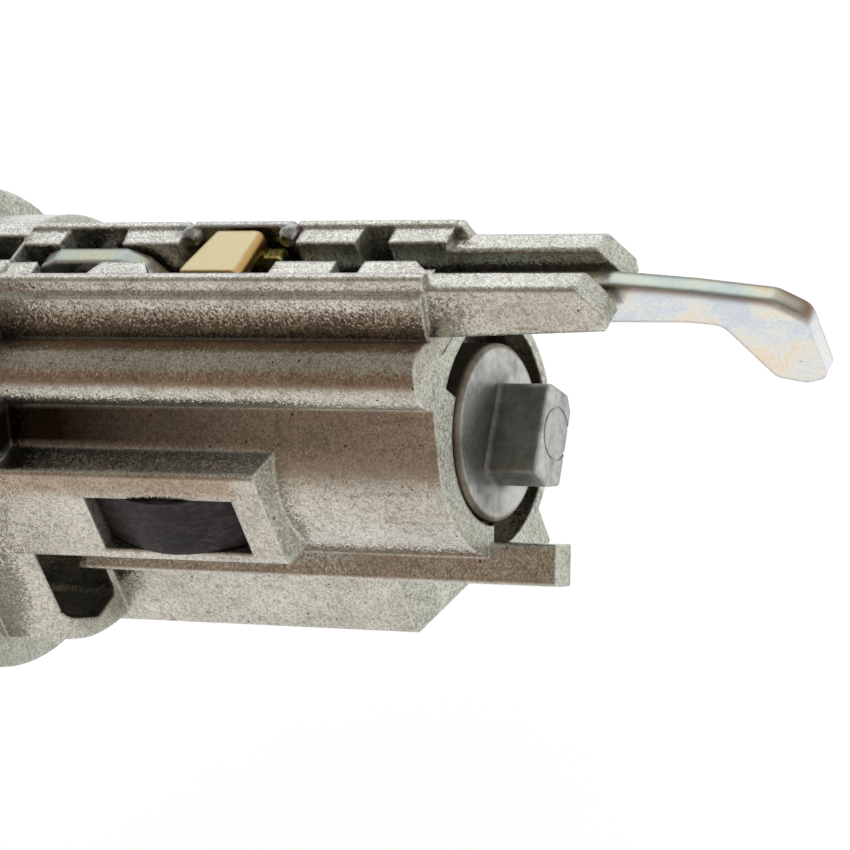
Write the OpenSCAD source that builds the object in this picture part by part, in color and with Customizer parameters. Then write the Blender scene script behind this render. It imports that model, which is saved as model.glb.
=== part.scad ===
// Ignition lock cylinder: die-cast body with a plug, wafers, lever, latch and side plunger.
// The lock axis is X, the key goes in at -X and the drive end is at +X.
// X = 0 is the shoulder between the front collar and the flange, +Z is up through the tower.

/* [Body] */
// Flange shoulder to the rear face of the barrel
barrel_len = 58; // [57:0.5:62]
// Outer radius of the barrel
barrel_r = 10.9; // [10.7:0.1:11.3]
// Radius of the front collar
collar_r = 16; // [15:0.5:17.5]
// Length of the front collar
collar_len = 12; // [10:0.5:15]
// Radius of the flange behind the collar
flange_r = 22; // [21.5:0.5:24]
// Thickness of the flange
flange_t = 4.8; // [4.4:0.1:5.6]
// Radius of the bell behind the flange
bell_r = 19.3; // [18.6:0.1:19.6]
// Length of the bell behind the flange
bell_len = 9.8; // [9:0.1:10.4]
// Depth of the stop recess in the rear face
recess_depth = 6.2; // [5.5:0.1:7]
// Outer radius of the stop recess
recess_r = 10.1; // [9.9:0.05:10.3]

/* [Tower] */
// Half width of the tower at its foot
tower_half = 4.6; // [4.4:0.1:5]
// Half width of the tower at its rims
rim_half = 4.0; // [3.9:0.05:4.2]
// Height of the rims over the lock axis
rim_z = 19.95; // [19.8:0.05:20.6]
// Thickness of each rim
rim_t = 0.85; // [0.7:0.05:1]
// Drop from the rim to the raised blocks beside it
block_drop = 0.25; // [0.1:0.05:0.5]
// Height of the channel floor over the lock axis
floor_z = 12.3; // [12:0.1:12.6]
// Length of the two prongs past the rear face
prong_len = 16.6; // [14:0.2:19]
// Height of the prong tops over the lock axis
prong_z = 18.8; // [18.4:0.1:19.2]
// Half width over the two prongs
prong_half = 3.9; // [3.7:0.1:4]

/* [Side boss] */
// Distance of the boss face from the lock axis
boss_y = 12.7; // [12.4:0.1:13.5]
// Height of the boss top over the lock axis
boss_top = 4.95; // [4.6:0.1:5.2]
// Depth of the boss bottom under the lock axis
boss_low = 5.1; // [4.9:0.1:5.3]
// Length of the window in the boss
window_len = 15.4; // [14:0.2:16]
// Height of the window in the boss
window_h = 6.1; // [5.5:0.1:6.6]

/* [Keel and fin] */
// Depth of the keel under the lock axis
keel_z = 20.9; // [20:0.1:21.5]
// Half width of the keel
keel_half = 3.9; // [3.5:0.1:4.4]
// Outer reach of the side fin from the lock axis
fin_reach = 13.2; // [12.8:0.1:14]
// Thickness of the side fin
fin_t = 2.85; // [2:0.05:3]
// Length of the fin past the rear face
fin_tail = 6.5; // [4:0.1:7]

/* [Plug] */
// Radius of the plug
plug_r = 7.8; // [7.7:0.05:7.9]
// Running gap between the plug and its bore
plug_gap = 0.06; // [0.03:0.01:0.09]
// Radius of the plug head behind the face cap
head_r = 10.6; // [10:0.1:11.4]
// Length of the drive block past the plug face
drive_len = 4.8; // [3.5:0.1:6]
// Turn from locked to start, in degrees
plug_turn = 115; // [90:1:120]

/* [Wafers] */
// Number of wafers
wafer_n = 8; // [4:1:8]
// Spacing of the wafers
wafer_pitch = 3.2; // [3:0.05:3.3]
// Thickness of a wafer
wafer_t = 0.9; // [0.7:0.05:1]
// Width of a wafer
wafer_w = 6.2; // [5.6:0.1:6.4]
// Travel of a wafer from locked to flush
wafer_travel = 0.9; // [0.6:0.1:1]
// Width of the keyway
keyway_w = 2.5; // [2.2:0.1:2.8]
// Height of the keyway
keyway_h = 9; // [8:0.1:9.4]

/* [Lever and latch] */
// Thickness of the lever plate
lever_t = 1.8; // [1.6:0.05:1.9]
// Reach of the lever past the rear face
lever_reach = 33.3; // [30:0.1:36]
// Radius of the lever pivot pin
pivot_r = 0.9; // [0.8:0.05:1]
// Height of the latch top over the lock axis
latch_z = 19.95; // [19.5:0.05:20]
// Travel of the latch
latch_travel = 0.8; // [0.4:0.1:0.8]

/* [Hidden] */
$fn = 48;
eps = 0.01;
round_fn = 96;

// Stations along X
rear = barrel_len;
front = -collar_len;
bell_end = flange_t + bell_len;
face_x = front - 0.1;
plug_end = rear + 0.35;
head_end = front + 5;
lock_face = face_x + 0.5;
channel_x = rear - 41.8;
latch_x0 = rear - 23.5;
latch_x1 = rear - 17.5;
latch_foot = 1.6;
boss_end = rear - 17;
window_x = rear - 20 - window_len;
prong_end = rear + prong_len;

// Housing
relief_r = plug_r + 0.35;
bore_r = plug_r + plug_gap;
block_z = rim_z - block_drop;
ledge_z = 14.4;
slot_half = rim_half - rim_t;
far_more = 0.4;
rim_far = rim_half + far_more;
slot_far = rim_far - rim_t;
channel_near = -1.2;
channel_far = 1.4;
prong_in = 1.5;
tower_lean = 0.9;
lug_angles = [-150, -75];
lip_angles = [-140, -95];
flat_round = 2.4;
lug_more = 2.6;
recess_from = -130;
recess_to = 119;
fin_angle = -130;
fin_root = 9.55;
fin_face = -0.85;
web_z = 14.4;
rib = [-6.5, 11.5];
rib_r = 2.9;
pin_x = rear - 12;
pin_r = 1;
pin_z = -relief_r;
pivot_x = rear - 35.2;
pivot_z = 16.8;

// Side plunger, its window and its two springs
window_z0 = -3.9;
window_gap = 0.1;
lip_y = boss_y - 1.68;
chamber_y = bore_r + 0.64;
chamber_in = 0.5;
plunger_flange = 1.1;
plunger_crown = 2.2;
plunger_spring_x = 4;
plunger_spring_r = 1.1;

// Plug, wafers and shutter
lug_gap = 4;
lug_w = recess_to - recess_from - plug_turn - 2 * lug_gap;
groove_half = 1.2;
wafer_x0 = 1.2;
wafer_gap = 0.06;
wafers_end = wafer_x0 + (wafer_n - 1) * wafer_pitch + wafer_t;
wafer_cut = [0.4, -0.6, 1, -0.2, 0.6, -0.9, 0.2, -0.4];
ear_w = 1.7;
ear_h = 1.4;
spring_y = wafer_w / 2 + 0.9;
spring_top = 4.6;
spring_r = 0.57;
drive_angle = 33;
shutter_x = face_x + 1.4;
shutter_z = keyway_h / 2 + 0.4;
shutter_half = 1.45;
shutter_t = 0.5;
shutter_low = -keyway_h / 2 - 0.1;
knuckle_end = 0.4;

// Lever and latch
latch_half = 2.85;
latch_arch = 18.6;
latch_in = 1.5;
foot_z = 13.8;
foot_top = 18;
latch_spring_x = rear - 20.5;
latch_spring_y = 2.15;
latch_spring_r = 0.55;

// Helpers
module along_x(x0, x1) translate([x0, 0, 0]) rotate([90, 0, 90]) linear_extrude(x1 - x0) children();
module along_y(y0, y1) translate([0, y1, 0]) rotate([90, 0, 0]) linear_extrude(y1 - y0) children();
module along_z(z0, z1) translate([0, 0, z0]) linear_extrude(z1 - z0) children();
module round_x(x0, x1, r) translate([x0, 0, 0]) rotate([0, 90, 0]) cylinder(h = x1 - x0, r = r);
module round_y(y0, y1, r) translate([0, y1, 0]) rotate([90, 0, 0]) cylinder(h = y1 - y0, r = r);
module block(p, q) translate(p) cube(q - p);

function unit(v) = v / norm(v);
function arc_points(c, r, a0, a1, n) =
    [for (i = [0 : n]) let (a = a0 + (a1 - a0) * i / n) c + r * [cos(a), sin(a)]];
// Corner b between a and c, rounded with radius r
function corner(a, b, c, r, n = 4) =
    r == 0 ? [b] :
    let (u = unit(a - b), v = unit(c - b), half = acos(u * v) / 2,
         centre = b + unit(u + v) * r / sin(half),
         start = b + u * r / tan(half) - centre,
         a0 = atan2(start[1], start[0]),
         sweep = -sign(cross(u, v)) * (180 - 2 * half))
    arc_points(centre, r, a0, a0 + sweep, n);
// Outline from points [x, y, corner radius]
function rounded(p) = let (n = len(p)) [for (i = [0 : n - 1])
    each corner([p[(i + n - 1) % n][0], p[(i + n - 1) % n][1]], [p[i][0], p[i][1]],
                [p[(i + 1) % n][0], p[(i + 1) % n][1]], p[i][2])];
module sector(r, from, to) polygon(concat([[0, 0]], arc_points([0, 0], r, from, to, 40)));

// Round wire along a path; ref is a direction that the path never follows
module wire(path, r, ref, sides = 5) {
    n = len(path);
    function tangent(i) = unit(path[min(i + 1, n - 1)] - path[max(i - 1, 0)]);
    function at(i, k) = i * sides + k % sides;
    rings = [for (i = [0 : n - 1])
        let (t = tangent(i), a = unit(cross(t, ref)), b = cross(t, a))
        for (k = [0 : sides - 1]) path[i] + r * (cos(360 * k / sides) * a + sin(360 * k / sides) * b)];
    walls = [for (i = [0 : n - 2]) for (k = [0 : sides - 1])
        each [[at(i, k), at(i + 1, k + 1), at(i, k + 1)], [at(i, k), at(i + 1, k), at(i + 1, k + 1)]]];
    polyhedron(rings, concat([[for (k = [0 : sides - 1]) at(0, k)]], walls,
                             [[for (k = [sides - 1 : -1 : 0]) at(n - 1, k)]]));
}
// Coil spring along Z between z0 and z1; r is the radius of its centre line
module coil(z0, z1, r, wire_r, turns, steps = 8) {
    n = turns * steps;
    wire([for (i = [0 : n]) [r * cos(360 * i / steps), r * sin(360 * i / steps),
                             z0 + wire_r + (z1 - z0 - 2 * wire_r) * i / n]], wire_r, [0, 0, 1]);
}

// Housing
module tower_section() polygon(rounded([
    [-tower_half - 0.05, 6, 0], [tower_half + far_more, 6, 0], [tower_half + far_more, rim_z - 1.6, 0.2],
    [rim_far, rim_z - 1.47, 0], [rim_far, rim_z, 0.25], [-rim_half, rim_z, 0.25],
    [-rim_half, rim_z - 1.47, 0], [-tower_half, rim_z - 1.6, 0.2]]));
module tower() intersection() {
    along_x(flange_t - 1, rear + tower_lean + 1) tower_section();
    along_y(-tower_half - 1, tower_half + 1) polygon([
        [0, 0], [rear, 0], [rear, barrel_r], [rear - 0.4, 13.8], [rear + tower_lean, rim_z], [0, rim_z]]);
}

// Raised block beside a rim, with sloping ends
module rim_block(x0, x1, y0, y1, slope0, slope1) along_z(floor_z - 1, block_z)
    polygon([[x0, y0], [x1, y0], [x1 - slope1, y1], [x0 + slope0, y1]]);

module prong(side) intersection() {
    along_x(rear - 1, prong_end) polygon(rounded([
        [side * prong_in, prong_z, 0.3], [side * prong_in, 13.5, 0.2],
        [side * prong_half, 13.5, 0.2], [side * prong_half, prong_z, 0.35]]));
    along_y(-tower_half, tower_half) polygon(rounded([
        [rear - 2, 13.5, 0], [prong_end - 0.4, 14.4, 0.2], [prong_end - 0.1, 14.7, 0.2],
        [prong_end, 16, 0.6], [prong_end - 1.9, prong_z + eps, 0.8], [rear - 2, prong_z + eps, 0]]));
}

module bell() {
    rotate([0, 90, 0]) rotate_extrude($fn = round_fn) polygon(concat(
        [[0, 0], [flange_r - 0.6, 0], [flange_r, 0.6], [flange_r, flange_t - 0.6]],
        arc_points([flange_r - 0.6, flange_t - 0.6], 0.6, 15, 90, 4), [[0, flange_t]]));
    along_x(0.6, flange_t + lug_more) sector(flange_r + 0.7, lug_angles[0], lug_angles[1]);
    difference() {
        union() {
            rotate([0, 90, 0]) rotate_extrude($fn = round_fn) polygon([
                [0, flange_t - 1], [bell_r + 1, flange_t - 1], [bell_r + 0.4, flange_t + 0.7],
                [bell_r, flange_t + 1.9], [bell_r, bell_end - 0.3], [bell_r - 0.4, bell_end],
                [0, bell_end]]);
            along_x(flange_t, bell_end) sector(bell_r + 0.6, lip_angles[0], lip_angles[1]);
        }
        // Flat near side, rounded off to the end face
        along_z(-flange_r - 1, flange_r + 1) polygon(concat(
            [[flange_t + 2.3, -boss_y], [flange_t + 2.3, -flange_r - 1], [bell_end + 1, -flange_r - 1],
             [bell_end + 1, flat_round - boss_y]],
            arc_points([bell_end - flat_round, flat_round - boss_y], flat_round, 0, -90, 6)));
    }
}

module keel() {
    intersection() {
        along_z(-keel_z - 1, -6) polygon([[flange_t - 1, -keel_half], [rear - 13, -keel_half],
                                          [rear - 10.4, keel_half], [flange_t - 1, keel_half]]);
        along_x(0, rear) polygon(rounded([[-keel_half, -keel_z, 0.5], [keel_half, -keel_z, 0.5],
                                          [keel_half, 0, 0], [-keel_half, 0, 0]]));
    }
    block([rear - 14, -1.5, -web_z], [rear, 2.3, -8.5]);
}

module fin() along_x(flange_t - 1, rear + fin_tail) rotate(fin_angle) polygon(rounded([
    [fin_root, fin_face, 0.2], [fin_reach, fin_face, 0.35],
    [fin_reach, fin_face + fin_t, 0.35], [fin_root, fin_face + fin_t, 0.2]]));

// The top falls away to the outside and the end face leans
module boss() intersection() {
    along_x(flange_t - 1, rear) polygon(rounded([
        [-boss_y, -boss_low, 0.5], [-4, -boss_low, 0], [-4, boss_top + 1, 0], [-boss_y, boss_top, 0.5]]));
    along_z(-boss_low - 1, boss_top + 2) polygon([
        [0, -boss_y], [boss_end, -boss_y], [boss_end + 1.1, -9.2], [boss_end + 1.1, 0], [0, 0]]);
}

// Two lumps of metal peened from the far rim down beside the latch
module stakes() intersection() {
    for (x = [latch_x0 - 1.9, latch_x1 + 2]) translate([x, rim_far - 0.9, rim_z - 1])
        scale([1.1, 1.1, 1]) sphere(r = 1, $fn = 20);
    block([channel_x, latch_half - 0.25, foot_top + 0.12], [rear, rim_far, rim_z + 0.2]);
}

module channel() {
    block([channel_x, channel_near, floor_z], [rear + 2, channel_far, rim_z + 2]);
    difference() {
        along_z(ledge_z, rim_z + 2) polygon([
            [channel_x - 0.4, -slot_half], [rear + 2, -slot_half], [rear + 2, slot_far], [channel_x + 1.6, slot_far]]);
        rim_block(flange_t, rear - 38.8, -rim_half, channel_near, 0, 0.2);
        rim_block(rear - 33.7, rear - 26, -rim_half, channel_near, 1.5, 1.8);
        rim_block(rear - 14.7, rear - 8.6, -rim_half, channel_near, 0.2, 0);
        rim_block(rear - 5.9, rear + 2.2, -rim_half, channel_near, 0.1, 3.1);
        rim_block(flange_t, rear - 37.8, rim_far, channel_far, 0, 0.4);
        rim_block(rear - 32, rear - 25.6, rim_far, channel_far, 0.6, 0.2);
        rim_block(rear - 14, rear - 7.8, rim_far, channel_far, 0.2, 0.2);
        rim_block(rear - 4.9, rear + 3, rim_far, channel_far, 0.2, 0);
        block([rear - 1, -rim_half, 0], [rear + 3, rim_far, prong_z]);
    }
    block([channel_x, -slot_half, block_z], [rear + 2, slot_far, rim_z + 2]);
    // Sloping front end
    translate([channel_x, 0, rim_z]) rotate([0, -40, 0]) block([-6, channel_near, 0], [2.4, channel_far + 1, 4]);
    // Cross slot of the latch and the two pockets of its springs
    block([latch_x0 - latch_foot - 0.3, -slot_half, floor_z],
          [latch_x1 + latch_foot + 0.3, slot_far, rim_z + 2]);
    for (s = [-1, 1]) translate([latch_spring_x, s * latch_spring_y, 10])
        cylinder(h = 4, r = latch_spring_r + 0.25);
    // Dents that the peening left in the far rim
    for (x = [latch_x0 - 2.4, latch_x1 + 2.1])
        translate([x, slot_far - 0.1, rim_z]) rotate([0, 45, 0]) cube([0.65, rim_t + 0.2, 0.65]);
}

module cast_body() difference() {
    union() {
        round_x(front, 0.5, collar_r, $fn = round_fn);
        bell();
        round_x(flange_t, rear, barrel_r, $fn = round_fn);
        tower();
        prong(-1);
        prong(1);
        // The far rim slopes down to its prong
        along_y(slot_far, rim_far) polygon([
            [rear, prong_z - 1], [rear, rim_z - 0.1], [rear + 1.5, rim_z - 0.2], [rear + 2.3, prong_z - 1]]);
        along_x(flange_t - 1, rear) {
            translate(rib) circle(r = rib_r);
            polygon([rib, [0, rib[1]], [0, 0], [-9.6, 5.15]]);
        }
        boss();
        fin();
        keel();
    }
    round_x(front - 1, rear + 1, bore_r, $fn = round_fn);
    round_x(front - 1, head_end + 0.1, head_r + 0.3, $fn = round_fn);
    round_x(rear - recess_depth, rear + 1, relief_r, $fn = round_fn);
    along_x(rear - recess_depth, rear + 0.5) sector(recess_r, recess_from, recess_to);
    channel();
    // Groove that the wafers drop into when the plug is locked
    block([head_end, -wafer_w / 2 - 0.3, -bore_r - 1.4], [wafers_end + 0.5, wafer_w / 2 + 0.3, 0]);
    // Window and chamber of the side plunger
    block([window_x, -boss_y - 1, window_z0], [window_x + window_len, -chamber_y, window_z0 + window_h]);
    block([window_x - chamber_in, -lip_y, window_z0],
          [window_x + window_len + chamber_in, -chamber_y, window_z0 + window_h]);
    // Pocket between the bell, the fin and the keel
    along_x(flange_t + 1, bell_end + 1) polygon(rounded([
        [-11.9, -boss_low - 0.3, 0], [-4.3, -11, 0], [-4.3, -16.7, 0.8], [-8.2, -16.5, 1.2],
        [-11.9, -13.4, 2.6]]));
    // Cross holes of the retaining pin and the lever pivot
    translate([pin_x, 0, pin_z]) round_y(-5.6, 12, pin_r + eps);
    translate([pivot_x, 0, pivot_z]) round_y(-4, 6, pivot_r + eps);
}
module housing() color("silver") {
    cast_body();
    stakes();
}

module retaining_pin() color("dimgray") translate([pin_x, 0, pin_z]) round_y(-5.5, 6.5, pin_r);

// Plug
function wafer_x(i) = wafer_x0 + (i - 1) * wafer_pitch;

// Slot of a wafer, of the ear beside it and of its spring
module wafer_slot(i) {
    x0 = wafer_x(i) - wafer_gap;
    x1 = wafer_x(i) + wafer_t + wafer_gap;
    block([x0, -wafer_w / 2 - wafer_gap, -plug_r - 1], [x1, wafer_w / 2 + wafer_gap, plug_r + 1]);
    block([x0, 0, -ear_h - wafer_travel - 0.3], [x1, wafer_w / 2 + ear_w + wafer_gap, 0.2]);
    translate([(x0 + x1) / 2, spring_y, -0.2]) cylinder(h = spring_top + 0.2, r = spring_r + 0.35, $fn = 24);
}

module drive_block() along_x(plug_end - 1, plug_end + drive_len) rotate(drive_angle)
    polygon(rounded([[-4.4, -1.4, 0.5], [-3.7, -3.4, 0.6], [3, -3.4, 0.6], [4.2, -2.4, 0.6],
                     [4.2, 1.3, 0.4], [-3.9, 1.5, 0.4]]));

// Ring left by the ejector pin on the end of the drive block
module ejector_mark() rotate([drive_angle, 0, 0]) translate([0, 0.4, -1.36]) difference() {
    round_x(plug_end + drive_len - 0.08, plug_end + drive_len + 1, 2.4);
    round_x(plug_end, plug_end + drive_len + 2, 2.2);
}

// Room that the shutter swings in behind the face cap
module shutter_room() translate([shutter_x, 0, shutter_z]) intersection() {
    round_y(-shutter_half - 0.3, shutter_half + 0.3, shutter_z - shutter_low + 0.4);
    block([-1.2, -shutter_half - 1, -20], [20, shutter_half + 1, 1.2]);
}

module plug() color("darkgray") difference() {
    union() {
        round_x(lock_face, head_end, head_r, $fn = round_fn);
        rotate([0, 90, 0]) rotate_extrude($fn = round_fn) polygon(concat(
            [[0, lock_face], [plug_r, lock_face]],
            arc_points([plug_r - 0.45, plug_end - 0.45], 0.45, 0, 90, 5), [[0, plug_end]]));
        along_x(rear - recess_depth + 0.3, rear - recess_depth + 2.8)
            sector(recess_r - 0.3, recess_from + lug_gap, recess_from + lug_gap + lug_w);
        drive_block();
    }
    for (i = [1 : wafer_n]) wafer_slot(i);
    block([face_x, -keyway_w / 2, -keyway_h / 2], [wafers_end + 1.2, keyway_w / 2, keyway_h / 2]);
    shutter_room();
    translate([shutter_x, 0, shutter_z]) round_y(-3.4, 3.4, shutter_t + eps);
    // Groove of the retaining pin
    rotate([0, 90, 0]) rotate_extrude($fn = round_fn)
        translate([plug_r - 1, pin_x - groove_half]) square([2, 2 * groove_half]);
    ejector_mark();
}

module face_cap() color("gainsboro") difference() {
    round_x(face_x, face_x + 3, head_r + 0.2, $fn = round_fn);
    round_x(lock_face, face_x + 4, head_r, $fn = round_fn);
    block([face_x - 1, -keyway_w / 2 - 0.2, -keyway_h / 2 - 0.1],
          [face_x + 2, keyway_w / 2 + 0.2, keyway_h / 2 + 0.1]);
}

// Wafers and their springs
module wafer(i) color("goldenrod") translate([wafer_x(i), 0, 0]) difference() {
    union() {
        intersection() {
            block([0, -wafer_w / 2, -plug_r], [wafer_t, wafer_w / 2, plug_r]);
            round_x(-1, 2, plug_r - 0.05);
        }
        block([0, 0, -ear_h], [wafer_t, wafer_w / 2 + ear_w, 0]);
    }
    translate([0, 0, wafer_cut[i - 1] / 2])
        block([-1, -keyway_w / 2 - 0.1, -keyway_h / 2 + 1], [2, keyway_w / 2 + 0.1, keyway_h / 2 - 0.6]);
}
module wafer_spring(i) color("lightsteelblue") translate([wafer_x(i) + wafer_t / 2, spring_y, 0])
    coil(0.02, spring_top - 0.02, spring_r, 0.13, 5);

// Shutter behind the face cap
module shutter() color("lightgray") translate([shutter_x, 0, shutter_z]) difference() {
    union() {
        round_y(-shutter_half, knuckle_end, 0.85);
        block([-shutter_t / 2, -shutter_half, shutter_low - shutter_z], [shutter_t / 2, shutter_half, -0.95]);
        block([-shutter_t / 2, -shutter_half, -1], [shutter_t / 2, knuckle_end, 0]);
    }
    round_y(-3, 3, shutter_t + 0.05);
}
module shutter_pin() color("dimgray") translate([shutter_x, 0, shutter_z]) round_y(-3.3, 3.3, shutter_t);
module shutter_spring() color("lightsteelblue") translate([shutter_x, 0, shutter_z])
    wire([for (i = [0 : 24]) [0.72 * cos(45 * i), 0.6 + 0.7 * i / 24, 0.72 * sin(45 * i)]], 0.1, [0, 1, 0]);

// Latch and its springs
module latch() color("khaki") difference() {
    union() {
        intersection() {
            along_z(foot_z + 4, latch_z) polygon(rounded([
                [latch_x0, -latch_half, 0.2], [latch_x1, -latch_half, 0.3],
                [latch_x1, latch_half, 0.3], [latch_x0 + 1.3, latch_half, 0.2]]));
            along_y(-latch_half, latch_half) polygon(rounded([
                [latch_x0, foot_z, 0], [latch_x1, foot_z, 0], [latch_x1, latch_z, 0.9], [latch_x0, latch_z, 0.25]]));
        }
        along_y(-latch_half, latch_half) polygon(rounded([
            [latch_x0 - latch_foot, foot_z, 0], [latch_x1 + latch_foot, foot_z, 0],
            [latch_x1 + latch_foot, foot_top, 0.4], [latch_x0 - latch_foot, foot_top, 0.4]]));
    }
    block([latch_x0 - 3, -latch_in, foot_z - 1], [latch_x1 + 3, latch_in, latch_arch]);
}
module latch_springs() color("lightsteelblue") for (s = [-1, 1])
    translate([latch_spring_x, s * latch_spring_y, 0]) coil(10.02, foot_z - 0.02, latch_spring_r, 0.14, 5);

// Lever, its pivot pin and its spring
module lever() color("whitesmoke") difference() {
    along_y(-lever_t / 2, lever_t / 2) polygon(rounded([
        [rear - 39.6, 15.5, 0.6], [rear - 39.4, 18.9, 0.8], [rear - 37.6, 19.55, 1.2], [rear - 30.6, 19.55, 1.2],
        [rear - 28.5, 18.6, 1], [rear - 27.2, 16.7, 1], [rear + 16, 17, 2], [rear + 23.5, 16.25, 3],
        [rear + lever_reach - 3, 15.3, 2], [rear + lever_reach - 0.4, 13.6, 1.6], [rear + lever_reach, 7.3, 0.9],
        [rear + lever_reach - 2, 6.75, 1.2], [rear + lever_reach - 4.6, 7.3, 1.2], [rear + 25.2, 12.7, 1.6],
        [rear + 22, 13, 2], [rear - 24, 13, 2], [rear - 28, 14.6, 2]]));
    translate([pivot_x, 0, pivot_z]) round_y(-2, 2, pivot_r + 0.05);
}
module lever_pin() color("dimgray") translate([pivot_x, 0, pivot_z]) round_y(-3.95, 4.5, pivot_r);
module lever_spring() color("lightsteelblue") translate([pivot_x, 0, pivot_z])
    wire(concat([[-3.2, -2.75, -2.1]],
        [for (i = [0 : 36]) [1.4 * cos(30 * i - 120), -2.7 + 1.3 * i / 36, 1.4 * sin(30 * i - 120)]],
        [[-3.2, -1.35, -1.4]]), 0.18, [0, 1, 0]);

// Side plunger in the boss window, with a foot under the lips, and its two springs
module plunger_springs_at() for (s = [-1, 1])
    translate([window_x + window_len / 2 + s * plunger_spring_x, 0, window_z0 + window_h / 2]) children();
module side_plunger() color("dimgray") difference() {
    along_z(window_z0 + window_gap, window_z0 + window_h - window_gap) union() {
        translate([window_x - chamber_in + 0.15, -lip_y + 0.02])
            square([window_len + 2 * chamber_in - 0.3, plunger_flange]);
        translate([window_x + window_gap, -lip_y + 0.02]) polygon(concat([[0, plunger_flange]],
            [for (t = [0 : 12]) [(window_len - 2 * window_gap) * t / 12, -plunger_crown * sin(15 * t)]],
            [[window_len - 2 * window_gap, plunger_flange]]));
    }
    plunger_springs_at() round_y(-lip_y - 0.76, 0, plunger_spring_r + 0.25);
}
module plunger_springs() color("lightsteelblue") plunger_springs_at()
    rotate([90, 0, 0]) coil(chamber_y + 0.02, lip_y + 0.74, plunger_spring_r, 0.14, 5);

housing();
plug();
face_cap();
retaining_pin();
for (i = [1 : wafer_n]) {
    wafer(i);
    wafer_spring(i);
}
shutter();
shutter_pin();
shutter_spring();
latch();
latch_springs();
lever();
lever_pin();
lever_spring();
side_plunger();
plunger_springs();
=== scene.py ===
"""Looks of the ignition lock cylinder: its finishes, its small cast details, the camera and the studio."""

from __future__ import annotations

import logging
from dataclasses import dataclass
from enum import Enum
from typing import Any

import bpy
from mathutils import Matrix, Vector

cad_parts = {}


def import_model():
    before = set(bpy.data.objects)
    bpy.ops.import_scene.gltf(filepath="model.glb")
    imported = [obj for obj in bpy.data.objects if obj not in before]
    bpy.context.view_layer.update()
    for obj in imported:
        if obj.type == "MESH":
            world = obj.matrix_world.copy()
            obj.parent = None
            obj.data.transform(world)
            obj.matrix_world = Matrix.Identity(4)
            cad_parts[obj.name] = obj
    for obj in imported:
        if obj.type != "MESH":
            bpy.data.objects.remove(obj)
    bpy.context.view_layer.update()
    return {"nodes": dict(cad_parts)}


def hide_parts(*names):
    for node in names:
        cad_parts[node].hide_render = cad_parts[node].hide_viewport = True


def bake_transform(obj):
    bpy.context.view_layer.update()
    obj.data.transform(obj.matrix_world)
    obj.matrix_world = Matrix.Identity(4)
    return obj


LOG = logging.getLogger("lock")
MM = 0.001

Colour = tuple[float, float, float, float]
Point = tuple[float, float, float]
Socket = bpy.types.NodeSocket


class Mixing(Enum):
    """How one colour goes over another."""

    COVER = "MIX"
    STAIN = "MULTIPLY"


def linear(hex_colour: str) -> Colour:
    """Turns an sRGB hex colour into linear light.

    Args:
        hex_colour: The colour as six hex digits after a hash.

    Returns:
        Red, green, blue and alpha in linear light.
    """
    parts = [int(hex_colour[i : i + 2], 16) / 255 for i in (1, 3, 5)]
    red, green, blue = (c / 12.92 if c <= 0.04045 else ((c + 0.055) / 1.055) ** 2.4 for c in parts)
    return red, green, blue, 1.0


def per_metre(size_mm: float) -> float:
    """Turns the real size of a pattern's feature into a texture scale on coordinates in metres."""
    return 1 / (size_mm * MM)


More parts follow.
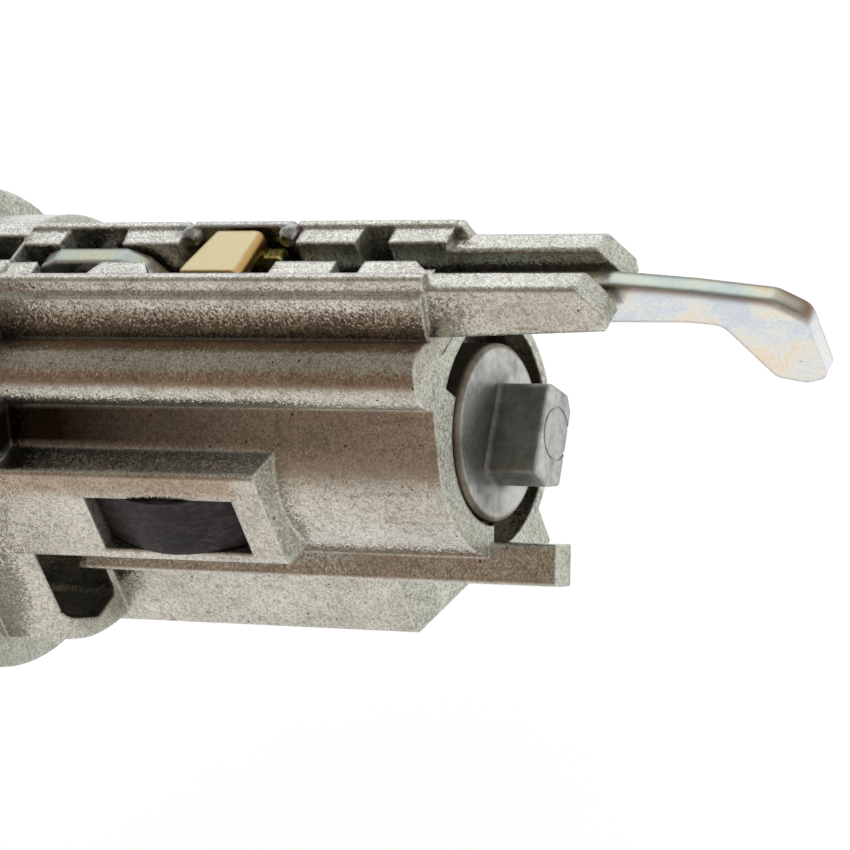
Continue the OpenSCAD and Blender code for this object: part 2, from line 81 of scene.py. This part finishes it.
class Surface:
    """The node tree of one material, with the effects that several finishes share."""

    def __init__(self, name: str) -> None:
        """Makes an empty material with its coordinates in metres."""
        self.material = bpy.data.materials.new(name)
        self.material.use_nodes = True
        self.tree = self.material.node_tree
        self.tree.nodes.clear()
        self.place = self.add("ShaderNodeTexCoord", out="Object")

    def add(self, kind: str, inputs: dict[str | int, Any] | None = None, out: str | int = 0, **settings: Any) -> Socket:
        """Adds one node with its settings and links.

        Args:
            kind: Blender's name of the node's type.
            inputs: For each input socket, the output that feeds it or its fixed value.
            out: Name or number of the output that the caller wants.
            **settings: Attributes of the node.

        Returns:
            That output, or the node itself where it has none.
        """
        node = self.tree.nodes.new(kind)
        for name, value in settings.items():
            setattr(node, name, value)
        for socket, value in (inputs or {}).items():
            if isinstance(value, Socket):
                self.tree.links.new(value, node.inputs[socket])
            else:
                node.inputs[socket].default_value = value
        return node.outputs[out] if node.outputs else node

    def layer(
        self, under: Socket | str, over: str, where: Socket, bounds: tuple[float, float], most: float = 1.0,
        how: Mixing = Mixing.COVER,
    ) -> Socket:
        """Lays a colour over another where a value passes from one bound to the other.

        Args:
            under: The colour below, as a link or a hex colour.
            over: The hex colour on top.
            where: The value that decides where it shows.
            bounds: Value at which the top colour starts, and value at which it shows most.
            most: How much of it shows there.
            how: How the two go together.

        Returns:
            The new colour.
        """
        start, full = bounds
        share = self.add("ShaderNodeMapRange", {"Value": where, "From Min": start, "From Max": full, "To Max": most})
        below = linear(under) if isinstance(under, str) else under
        inputs = {0: share, 6: below, 7: linear(over)}
        return self.add("ShaderNodeMix", inputs, out=2, data_type="RGBA", blend_type=how.value)

    def near_box(self, low_mm: Point, high_mm: Point, soft_mm: float) -> Socket:
        """Is 1 in a box of the row frame and fades to 0 outside it.

        Args:
            low_mm: The box's lowest corner.
            high_mm: Its highest corner.
            soft_mm: Width of the fade.

        Returns:
            The mask.
        """
        low, high = Vector(low_mm) * MM, Vector(high_mm) * MM
        place = self.place
        for operation, other in (("SUBTRACT", (low + high) / 2), ("ABSOLUTE", None), ("SUBTRACT", (high - low) / 2)):
            inputs = {0: place} if other is None else {0: place, 1: other}
            place = self.add("ShaderNodeVectorMath", inputs, operation=operation)
        outside = self.add("ShaderNodeVectorMath", {0: place, 1: Vector()}, operation="MAXIMUM")
        away = self.add("ShaderNodeVectorMath", {0: outside}, out="Value", operation="LENGTH")
        return self.add("ShaderNodeMapRange", {"Value": away, "From Max": soft_mm * MM, "To Min": 1.0, "To Max": 0.0})

    def dimples(self, size_mm: float, tilt: float, normal: Socket) -> tuple[Socket, Socket]:
        """Tilts each small facet of a blasted or cast skin its own way, and a few of them far.

        Args:
            size_mm: Size of a facet.
            tilt: Greatest tilt, as a share of the normal's length.
            normal: The normal under the facets.

        Returns:
            The new normal and each facet's own random value from 0 to 1.
        """
        chance = self.add("ShaderNodeTexVoronoi", {"Vector": self.place, "Scale": per_metre(size_mm)}, out="Color")
        own = self.add("ShaderNodeSeparateXYZ", {0: chance}, out="Z")
        far = self.add("ShaderNodeMapRange", {"Value": own, "From Min": 0.75, "To Min": tilt, "To Max": 2.4 * tilt})
        lean = self.add("ShaderNodeVectorMath", {0: chance, 1: (0.5, 0.5, 0.5)}, operation="SUBTRACT")
        lean = self.add("ShaderNodeVectorMath", {0: lean, "Scale": far}, operation="SCALE")
        leaned = self.add("ShaderNodeVectorMath", {0: normal, 1: lean}, operation="ADD")
        return self.add("ShaderNodeVectorMath", {0: leaned}, operation="NORMALIZE"), own

    def worn_and_highlit_edges(self, rounded: Socket, open_air: Socket) -> Socket:
        """Is 1 on an edge that stands proud, where handling rubs it bright and where its painted highlight goes.

        Args:
            rounded: The normal with its edges rounded.
            open_air: Openness of the surface, from 0 in a hollow to 1.

        Returns:
            The mask.
        """
        flat = self.add("ShaderNodeNewGeometry", out="Normal")
        facing = self.add("ShaderNodeVectorMath", {0: rounded, 1: flat}, out="Value", operation="DOT_PRODUCT")
        edge = self.add("ShaderNodeMapRange", {"Value": facing, "From Min": 0.97, "From Max": 0.86})
        proud = self.add("ShaderNodeMapRange", {"Value": open_air, "From Min": 0.7, "From Max": 0.95})
        return self.add("ShaderNodeMath", {0: edge, 1: proud}, operation="MULTIPLY")

    def finish(self, inputs: dict[str | int, Any]) -> bpy.types.Material:
        """Ends the tree with its shader.

        Args:
            inputs: Fixed values and links of the shader's own sockets.

        Returns:
            The material.
        """
        shader = self.add("ShaderNodeBsdfPrincipled", inputs)
        self.add("ShaderNodeOutputMaterial", {"Surface": shader})
        return self.material


@dataclass(frozen=True)
class BlastedZinc:
    """Zinc die casting, shot blasted: satin grey full of fine glints, with dull oxide and painted shade in its hollows,
    and painted shade on its near side, tower, flank and boss.
    """

    name: str = "zinc_die_casting_shot_blasted"
    light: str = "#e2e2dd"
    dark: str = "#d2d2cc"
    facet_dark: str = "#bfbdb8"
    grime: str = "#aaa298"
    side_shade: str = "#f3eeea"
    tower_shade: str = "#dfd4cc"
    flank_shade: str = "#352f29"
    boss_shade: str = "#dfcdc2"
    streak: str = "#a5846c"
    end_face_shade: str = "#f1f3ea"
    edge: str = "#f0f0ec"
    oxide_and_shade: str = "#453b31"
    deep_shade: str = "#161310"
    pore: str = "#2e2a25"
    peened: str = "#85868a"
    facet_mm: float = 0.15  # Real shot marks are about half this, too fine to show
    tilt: float = 0.2
    bloom_rough: float = 0.55
    mottle_mm: float = 5.0
    speck_mm: float = 0.9
    pore_mm: float = 1.3
    edge_mm: float = 0.5
    hollow_mm: float = 5.0
    tower_low: Point = (2.0, -9.0, 12.8)
    tower_high: Point = (57.5, -3.2, 16.5)
    flank_low: Point = (2.0, -11.5, 6.0)
    flank_high: Point = (60.0, -5.0, 8.4)
    flank_shade_from_mm: float = 59.0
    flank_shade_to_mm: float = 20.0
    boss_low: Point = (2.0, -14.5, 3.2)
    boss_high: Point = (38.0, -12.0, 4.2)
    peened_low: Point = (31.6, 2.5, 18.0)
    peened_high: Point = (43.6, 3.7, 20.2)

    def material(self) -> bpy.types.Material:
        """Builds the material."""
        s = Surface(self.name)
        rounded = s.add("ShaderNodeBevel", {"Radius": self.edge_mm * MM}, samples=6)
        open_air = s.add("ShaderNodeAmbientOcclusion", {"Distance": self.hollow_mm * MM}, out="AO", samples=8, only_local=True)
        mottle = s.add("ShaderNodeTexNoise", {"Vector": s.place, "Scale": per_metre(self.mottle_mm), "Detail": 4.0})
        specks = s.add("ShaderNodeTexNoise", {"Vector": s.place, "Scale": per_metre(self.speck_mm), "Detail": 3.0})
        uneven = {"Strength": 0.3, "Distance": 0.03 * MM, "Height": mottle, "Normal": rounded}
        normal, chance = s.dimples(self.facet_mm, self.tilt, s.add("ShaderNodeBump", uneven))
        colour = s.layer(self.light, self.dark, mottle, (0.35, 0.65))
        colour = s.layer(colour, self.facet_dark, chance, (0.8, 0.0), 1.0, Mixing.STAIN)
        colour = s.layer(colour, self.grime, specks, (0.44, 0.3), 0.4, Mixing.STAIN)
        # Painted shade darkens the faces turned to the near side, and darkens the tower more
        sideward = s.add("ShaderNodeSeparateXYZ", {0: rounded}, out="Y")
        colour = s.layer(colour, self.side_shade, sideward, (-0.6, -0.9), 1.0, Mixing.STAIN)
        tower = s.near_box(self.tower_low, self.tower_high, 0.8)
        colour = s.layer(colour, self.tower_shade, tower, (0.0, 1.0), 1.0, Mixing.STAIN)
        # Painted shade darkens the near flank, more toward the flange, and a warm painted shade lies on the boss
        along = s.add("ShaderNodeSeparateXYZ", {0: s.place}, out="X")
        inward = {"Value": along, "From Min": self.flank_shade_from_mm * MM, "From Max": self.flank_shade_to_mm * MM}
        flank_shading = {0: s.near_box(self.flank_low, self.flank_high, 1.6), 1: s.add("ShaderNodeMapRange", inward)}
        flank_shading = s.add("ShaderNodeMath", flank_shading, operation="MULTIPLY")
        colour = s.layer(colour, self.flank_shade, flank_shading, (0.0, 1.0), 1.0, Mixing.STAIN)
        boss = s.near_box(self.boss_low, self.boss_high, 1.4)
        colour = s.layer(colour, self.boss_shade, boss, (0.0, 1.0), 1.0, Mixing.STAIN)
        drawn = s.add("ShaderNodeMapping", {"Vector": s.place, "Scale": (0.15, 1.0, 1.0)})
        streaks = s.add("ShaderNodeTexNoise", {"Vector": drawn, "Scale": per_metre(0.8), "Detail": 3.0})
        colour = s.layer(colour, self.streak, streaks, (0.62, 0.75), 0.4, Mixing.STAIN)
        # Faces toward the drive end get a faint cool painted shade and a duller finish
        endward = s.add("ShaderNodeSeparateXYZ", {0: rounded}, out="X")
        colour = s.layer(colour, self.end_face_shade, endward, (0.5, 0.9), 0.9, Mixing.STAIN)
        # Proud edges are rubbed bright and carry a painted highlight, here more and there less
        rubbed = s.add("ShaderNodeMath", {0: s.worn_and_highlit_edges(rounded, open_air), 1: specks}, operation="MULTIPLY")
        colour = s.layer(colour, self.edge, rubbed, (0.3, 0.6), 0.7)
        # Oxide stays dull in hollows that the shot can't reach, and painted shade darkens them, nearly black in the
        # deepest
        colour = s.layer(colour, self.oxide_and_shade, open_air, (0.5, 0.12), 0.93)
        colour = s.layer(colour, self.deep_shade, open_air, (0.38, 0.18))
        # Casting pores are small and dark, in one cell of four
        holes = {"Vector": s.place, "Scale": per_metre(self.pore_mm)}
        near = s.add("ShaderNodeTexVoronoi", holes, out="Distance")
        which = s.add("ShaderNodeTexVoronoi", holes, out="Color")
        small = s.add("ShaderNodeMapRange", {"Value": near, "From Min": 0.08, "From Max": 0.13, "To Min": 1.0, "To Max": 0.0})
        pore = s.add("ShaderNodeMath", {0: small, 1: which}, operation="MULTIPLY")
        colour = s.layer(colour, self.pore, pore, (0.58, 0.64), 0.9)
        # Metal peened over beside the latch is smooth and dark
        peened = s.near_box(self.peened_low, self.peened_high, 0.3)
        colour = s.layer(colour, self.peened, peened, (0.0, 1.0), 0.6)
        bloom = s.add("ShaderNodeMapRange", {"Value": endward, "From Min": 0.5, "From Max": 0.9, "To Max": self.bloom_rough})
        metal = s.add("ShaderNodeMapRange", {"Value": open_air, "From Min": 0.05, "From Max": 0.4, "To Min": 0.2, "To Max": 1.0})
        rough = s.add("ShaderNodeMapRange", {"Value": mottle, "From Min": 0.35, "From Max": 0.65, "To Min": 0.22, "To Max": 0.28})
        rough = s.add("ShaderNodeMath", {0: rough, 1: bloom}, operation="MAXIMUM")
        return s.finish({"Metallic": metal, "Base Color": colour, "Roughness": rough, "Normal": normal})


@dataclass(frozen=True)
class SmoothZinc:
    """Zinc die casting as it left the die: smooth and grey, with grease and painted shade on its end and a brown turned
    rim.
    """

    name: str = "zinc_die_casting_smooth"
    light: str = "#bfbfbc"
    dark: str = "#999996"
    grease_and_shade: str = "#b3b2ae"
    rim: str = "#8a7a58"
    scuff_mm: float = 1.8
    edge_mm: float = 0.9
    grease_and_shade_low: Point = (57.5, -5.6, -3.4)
    grease_and_shade_high: Point = (63.0, 2.5, 3.4)
    end_x_mm: float = 62.95
    rim_mm: float = 7.25

    def material(self) -> bpy.types.Material:
        """Builds the material."""
        s = Surface(self.name)
        rounded = s.add("ShaderNodeBevel", {"Radius": self.edge_mm * MM}, samples=6)
        open_air = s.add("ShaderNodeAmbientOcclusion", {"Distance": 1.4 * MM}, out="AO", samples=8, only_local=True)
        normal, _ = s.dimples(0.35, 0.06, rounded)
        scuffs = s.add("ShaderNodeTexNoise", {"Vector": s.place, "Scale": per_metre(self.scuff_mm), "Detail": 5.0, "Roughness": 0.7})
        colour = s.layer(self.light, self.dark, scuffs, (0.4, 0.65))
        # Grease and painted shade darken the end round the block, but not the block's own end
        grease_and_shade = s.near_box(self.grease_and_shade_low, self.grease_and_shade_high, 2.2)
        along = s.add("ShaderNodeSeparateXYZ", {0: s.place}, out="X")
        inside = s.add("ShaderNodeMath", {0: along, 1: self.end_x_mm * MM}, operation="LESS_THAN")
        grease_and_shade = s.add("ShaderNodeMath", {0: grease_and_shade, 1: inside}, operation="MULTIPLY")
        colour = s.layer(colour, self.grease_and_shade, grease_and_shade, (0.0, 1.0), 0.9, Mixing.STAIN)
        # Painted shade also darkens the end's hollows
        colour = s.layer(colour, self.grease_and_shade, open_air, (0.85, 0.35), 0.9, Mixing.STAIN)
        # The turned rim keeps a thin brown film
        across = s.add("ShaderNodeVectorMath", {0: s.place, 1: (0.0, 1.0, 1.0)}, operation="MULTIPLY")
        radius = s.add("ShaderNodeVectorMath", {0: across}, out="Value", operation="LENGTH")
        colour = s.layer(colour, self.rim, radius, (self.rim_mm * MM, (self.rim_mm + 0.25) * MM), 0.8, Mixing.STAIN)
        rough = s.add("ShaderNodeMapRange", {"Value": scuffs, "From Min": 0.3, "From Max": 0.7, "To Min": 0.36, "To Max": 0.5})
        return s.finish({"Metallic": 1.0, "Base Color": colour, "Roughness": rough, "Normal": normal})


@dataclass(frozen=True)
class PlatedSteel:
    """Stamped steel, white zinc plated: bright and smooth, with a faint rainbow film and few nicks."""

    name: str = "steel_stamping_white_zinc_plated"
    base: str = "#e6e8e6"
    cool: str = "#d3dbe8"
    warm: str = "#ead9c4"
    edge_face: str = "#d4dcd0"
    line: str = "#8f7868"
    low_end_tone: str = "#ecebe7"
    nick: str = "#6f6a62"
    facet_mm: float = 0.16
    film_mm: float = 6.0
    nick_mm: float = 1.9
    edge_mm: float = 0.6
    line_mm: float = 1.5
    low_end_tone_x_mm: float = 36.0
    bare_x_mm: float = 58.0

    def material(self) -> bpy.types.Material:
        """Builds the material."""
        s = Surface(self.name)
        rounded = s.add("ShaderNodeBevel", {"Radius": self.edge_mm * MM}, samples=6)
        normal, chance = s.dimples(self.facet_mm, 0.08, rounded)
        film = s.add("ShaderNodeTexNoise", {"Vector": s.place, "Scale": per_metre(self.film_mm), "Distortion": 0.8})
        mixed = s.add("ShaderNodeMath", {0: chance, 1: 0.22, 2: film}, operation="MULTIPLY_ADD")
        colour = s.layer(self.base, self.warm, mixed, (0.62, 0.45))
        colour = s.layer(colour, self.cool, mixed, (0.6, 0.75))
        # The plating is toned slightly darker toward the low end along x
        along = s.add("ShaderNodeSeparateXYZ", {0: s.place}, out="X")
        colour = s.layer(colour, self.low_end_tone, along, ((self.low_end_tone_x_mm + 6) * MM, self.low_end_tone_x_mm * MM), 1.0, Mixing.STAIN)
        up = s.add("ShaderNodeSeparateXYZ", {0: rounded}, out="Z")
        colour = s.layer(colour, self.edge_face, up, (0.6, 0.9), 1.0, Mixing.STAIN)
        # A brown line lies where the face turns into the edge
        wide = s.add("ShaderNodeBevel", {"Radius": self.line_mm * MM}, samples=6)
        turn = s.add("ShaderNodeSeparateXYZ", {0: wide}, out="Z")
        rest = s.add("ShaderNodeMath", {0: 1.0, 1: turn}, operation="SUBTRACT")
        turning = s.add("ShaderNodeMath", {0: turn, 1: rest}, operation="MULTIPLY")
        bare = s.add("ShaderNodeMapRange", {"Value": along, "From Min": self.bare_x_mm * MM, "From Max": (self.bare_x_mm + 4) * MM})
        turning = s.add("ShaderNodeMath", {0: turning, 1: bare}, operation="MULTIPLY")
        colour = s.layer(colour, self.line, turning, (0.08, 0.22), 1.0, Mixing.STAIN)
        stretched = s.add("ShaderNodeMapping", {"Vector": s.place, "Scale": (0.5, 1.0, 1.6)})
        nicks = s.add("ShaderNodeTexVoronoi", {"Vector": stretched, "Scale": per_metre(self.nick_mm)}, out="Distance")
        colour = s.layer(colour, self.nick, nicks, (0.06, 0.03), 0.7)
        rough = s.add("ShaderNodeMapRange", {"Value": film, "From Min": 0.35, "From Max": 0.65, "To Min": 0.24, "To Max": 0.34})
        return s.finish({"Metallic": 1.0, "Base Color": colour, "Roughness": rough, "Normal": normal})


@dataclass(frozen=True)
class YellowChromate:
    """Steel, zinc plated and yellow chromated: pale yellow on its rubbed top, brown and iridescent below."""

    name: str = "steel_yellow_chromate"
    top: str = "#c4b791"
    side: str = "#c49d62"
    film: str = "#dde39a"
    edge_mm: float = 0.4
    film_mm: float = 1.6
    foot_z_mm: float = 18.1

    def material(self) -> bpy.types.Material:
        """Builds the material."""
        s = Surface(self.name)
        rounded = s.add("ShaderNodeBevel", {"Radius": self.edge_mm * MM}, samples=6)
        normal, _ = s.dimples(0.3, 0.05, rounded)
        up = s.add("ShaderNodeSeparateXYZ", {0: rounded}, out="Z")
        height = s.add("ShaderNodeSeparateXYZ", {0: s.place}, out="Z")
        film = s.add("ShaderNodeTexNoise", {"Vector": s.place, "Scale": per_metre(self.film_mm), "Distortion": 1.5})
        colour = s.layer(self.side, self.film, film, (0.42, 0.56))
        colour = s.layer(colour, self.side, height, (self.foot_z_mm * MM, (self.foot_z_mm + 0.1) * MM))
        high = s.add("ShaderNodeMath", {0: height, 1: self.foot_z_mm * MM}, operation="GREATER_THAN")
        rubbed = s.add("ShaderNodeMath", {0: up, 1: high}, operation="MULTIPLY")
        colour = s.layer(colour, self.top, rubbed, (0.75, 0.98))
        return s.finish({"Metallic": 1.0, "Roughness": 0.3, "Base Color": colour, "Normal": normal})


@dataclass(frozen=True)
class DarkAcetal:
    """Acetal plastic, moulded: nearly black with a purple-brown cast, satin, with drag marks across it."""

    name: str = "acetal_moulded_dark"
    base: str = "#1a1516"
    streak: str = "#3a2d30"
    streak_mm: float = 1.2

    def material(self) -> bpy.types.Material:
        """Builds the material."""
        s = Surface(self.name)
        rounded = s.add("ShaderNodeBevel", {"Radius": 0.2 * MM}, samples=6)
        normal, _ = s.dimples(0.3, 0.06, rounded)
        drawn = s.add("ShaderNodeMapping", {"Vector": s.place, "Scale": (0.4, 1.0, 1.5)})
        drag = {"Vector": drawn, "Scale": per_metre(self.streak_mm), "Detail": 4.0, "Roughness": 0.6, "Distortion": 2.0}
        colour = s.layer(self.base, self.streak, s.add("ShaderNodeTexNoise", drag), (0.48, 0.68))
        return s.finish({"Roughness": 0.45, "Specular IOR Level": 0.22, "Base Color": colour, "Normal": normal})


@dataclass(frozen=True)
class PlainMetal:
    """A small metal part with one even finish and a fine grain."""

    name: str
    base: str
    shade: str
    roughness: float
    grain_mm: float = 0.4

    def material(self) -> bpy.types.Material:
        """Builds the material."""
        s = Surface(self.name)
        rounded = s.add("ShaderNodeBevel", {"Radius": 0.12 * MM}, samples=4)
        normal, chance = s.dimples(self.grain_mm, 0.04, rounded)
        colour = s.layer(self.base, self.shade, chance, (0.0, 1.0))
        return s.finish({"Metallic": 1.0, "Roughness": self.roughness, "Base Color": colour, "Normal": normal})


GROUND_STEEL = PlainMetal("steel_pin_ground", "#9a9a98", "#77787a", 0.3)
STAINLESS_SHEET = PlainMetal("stainless_sheet_bright", "#c9c9c6", "#b4b5b3", 0.22)
SPRING_WIRE = PlainMetal("spring_wire_drawn", "#9b9c9f", "#6f7073", 0.35, 0.25)
WAFER_BRASS = PlainMetal("brass_stamped", "#c2a35c", "#a88944", 0.34)


@dataclass(frozen=True)
class PressedSpring:
    """Coil springs that shorten when the piece on them is pressed."""

    node: str
    seat: str
    pressed: str
    toward: Point


PRESSED_SPRINGS = (
    PressedSpring("latch_springs", "housing", "latch", (0.0, 0.0, 1.0)),
    PressedSpring("plunger_springs", "housing", "side_plunger", (0.0, -1.0, 0.0)),
)


@dataclass
class LockParts:
    """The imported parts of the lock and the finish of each."""

    nodes: dict[str, bpy.types.Object]
    wafers: int = 8

    def finishes(self) -> dict[str, bpy.types.Material]:
        """Gives the material of every node.

        Returns:
            Node name to material.
        """
        pins, sheet, wire, brass = (f.material() for f in (GROUND_STEEL, STAINLESS_SHEET, SPRING_WIRE, WAFER_BRASS))
        found = {
            "housing": BlastedZinc().material(),
            "plug": SmoothZinc().material(),
            "lever": PlatedSteel().material(),
            "latch": YellowChromate().material(),
            "side_plunger": DarkAcetal().material(),
            "face_cap": sheet,
            "shutter": sheet,
            "retaining_pin": pins,
            "lever_pin": pins,
            "shutter_pin": pins,
            "shutter_spring": wire,
            "latch_springs": wire,
            "lever_spring": wire,
            "plunger_springs": wire,
        }
        for i in range(1, self.wafers + 1):
            found[f"wafer_{i}"] = brass
            found[f"wafer_spring_{i}"] = wire
        return found

    def dress(self) -> None:
        """Puts each finish on its node."""
        for name, material in self.finishes().items():
            mesh = self.nodes[name].data
            mesh.materials.clear()
            mesh.materials.append(material)
            LOG.info("dressed %s in %s", name, material.name)


    def shorten_springs(self) -> None:
        """Puts a plain copy of each pressed spring's wire in its place and hides the original."""
        for spring in PRESSED_SPRINGS:
            wire = bpy.data.objects.new(f"{spring.node}_wire", self.nodes[spring.node].data.copy())
            bpy.context.scene.collection.objects.link(wire)
            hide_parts(spring.node)
            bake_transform(wire)
            LOG.info("%s shortens with %s", spring.node, spring.pressed)


@dataclass(frozen=True)
class Card:
    """A flat card or floor of the studio, as three of its corners."""

    name: str
    corner: Point
    side: Point
    other: Point
    glow: str
    strength: float = 1.0
    colour: str = "#000000"
    only_in_gloss: bool = True


@dataclass(frozen=True)
class Lamp:
    """A square soft light aimed at the barrel."""

    name: str
    at_mm: Point
    width_mm: float
    watts: float


@dataclass(frozen=True)
class Studio:
    """A pale floor, even soft light, cards that the metal reflects, and the camera of the photograph."""

    cards: tuple[Card, ...] = (
        Card("floor", (-3000, -3000, -60), (6000, 0, 0), (0, 6000, 0), "#757574", 1.0, "#f2f2f2", False),
        # Dim warm side of the room in front, down to the table's edge
        Card("front_dark", (-1100, -310, -59), (1900, 0, 0), (0, 0, 385), "#a5907f"),
        # Dim ceiling over the table
        Card("ceiling", (-900, -650, 620), (1400, 0, 0), (0, 980, 0), "#acaca2"),
        # Bright front part of the table
        Card("table_front", (-900, -309, -58), (1600, 0, 0), (0, 270, 0), "#f3f2ed", 1.12),
    )
    lamps: tuple[Lamp, ...] = (
        Lamp("back_softbox", (-180, 560, 500), 500, 0.35),
        Lamp("drive_end_fill", (460, -60, 120), 260, 0.1),
    )
    room: str = "#fafafa"
    eye_mm: Point = (217.0, -236.83, 199.42)
    right: Point = (0.88114, 0.37427, -0.28899)
    up: Point = (-0.01692, 0.63572, 0.77173)
    ahead: Point = (-0.47255, 0.67511, -0.56649)
    lens_mm: float = 169.41
    sensor_mm: float = 36.0

    def build(self) -> None:
        """Sets up the cards, the room, the lamps and the camera."""
        for card in self.cards:
            self.place(card)
        for lamp in self.lamps:
            self.hang(lamp)
        self.surround()
        self.aim()

    def place(self, card: Card) -> None:
        """Makes one card.

        Args:
            card: What to make.
        """
        corner, side, other = (Vector(p) * MM for p in (card.corner, card.side, card.other))
        mesh = bpy.data.meshes.new(card.name)
        mesh.from_pydata([corner, corner + side, corner + side + other, corner + other], [], [[0, 1, 2, 3]])
        plane = bpy.data.objects.new(card.name, mesh)
        bpy.context.scene.collection.objects.link(plane)
        inputs = {
            "Base Color": linear(card.colour),
            "Roughness": 0.9,
            "Specular IOR Level": 0.0,
            "Emission Color": linear(card.glow),
            "Emission Strength": card.strength,
        }
        mesh.materials.append(Surface(card.name).finish(inputs))
        if card.only_in_gloss:
            plane.visible_camera = plane.visible_diffuse = plane.visible_shadow = False
        LOG.info("placed %s", card.name)

    def hang(self, lamp: Lamp) -> None:
        """Makes one lamp.

        Args:
            lamp: What to make.
        """
        data = bpy.data.lights.new(lamp.name, "AREA")
        data.size, data.energy = lamp.width_mm * MM, lamp.watts
        holder = bpy.data.objects.new(lamp.name, data)
        holder.location = Vector(lamp.at_mm) * MM
        holder.rotation_euler = (Vector((40, 0, 0)) * MM - holder.location).to_track_quat("-Z", "Y").to_euler()
        bpy.context.scene.collection.objects.link(holder)
        LOG.info("hung %s of %s W", lamp.name, lamp.watts)

    def surround(self) -> None:
        """Gives the room its even pale light."""
        world = bpy.data.worlds.new("room")
        world.use_nodes = True
        world.node_tree.nodes["Background"].inputs["Color"].default_value = linear(self.room)
        bpy.context.scene.world = world

    def aim(self) -> None:
        """Places the camera of the photograph."""
        data = bpy.data.cameras.new("photo_camera")
        data.sensor_width, data.lens = self.sensor_mm, self.lens_mm
        data.clip_start, data.clip_end = 0.01, 20
        camera = bpy.data.objects.new("photo_camera", data)
        turn = Matrix((self.right, self.up, -Vector(self.ahead))).transposed()
        camera.matrix_world = Matrix.Translation(Vector(self.eye_mm) * MM) @ turn.to_4x4()
        bpy.context.scene.collection.objects.link(camera)
        bpy.context.scene.camera = camera


def main() -> None:
    """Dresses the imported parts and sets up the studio."""
    logging.basicConfig(level=logging.INFO, format="%(message)s")
    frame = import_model()
    bpy.context.scene.view_settings.view_transform = "Standard"
    lock = LockParts(frame["nodes"])
    lock.dress()
    lock.shorten_springs()
    Studio().build()


if __name__ == "__main__":
    main()
